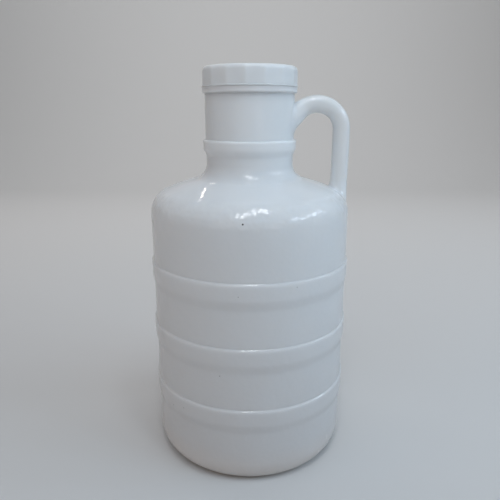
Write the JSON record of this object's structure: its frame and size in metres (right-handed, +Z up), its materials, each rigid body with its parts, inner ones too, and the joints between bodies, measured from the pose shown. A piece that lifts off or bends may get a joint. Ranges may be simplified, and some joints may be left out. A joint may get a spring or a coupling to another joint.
{
  "type": "plastic pickle jug",
  "caption": "Round milky plastic jug with raised hoops, a domed shoulder, a wide neck, a loop handle at the side and a screw cap over a seal ring.",
  "frame": {"origin": "centre of the jug's footprint, on the surface that it stands on", "axes": "+Z up along the jug's turned axis, +X towards the handle, the pictured side faces -Y"},
  "size_m": [0.1544, 0.1544, 0.3],
  "materials": {
    "body_plastic": "milky, soft gloss",
    "cap_plastic": "milky, satin"
  },
  "bodies": {
    "root": {"jug": "body_plastic", "cap": "cap_plastic", "seal_ring": "cap_plastic"}
  },
  "joints": []
}
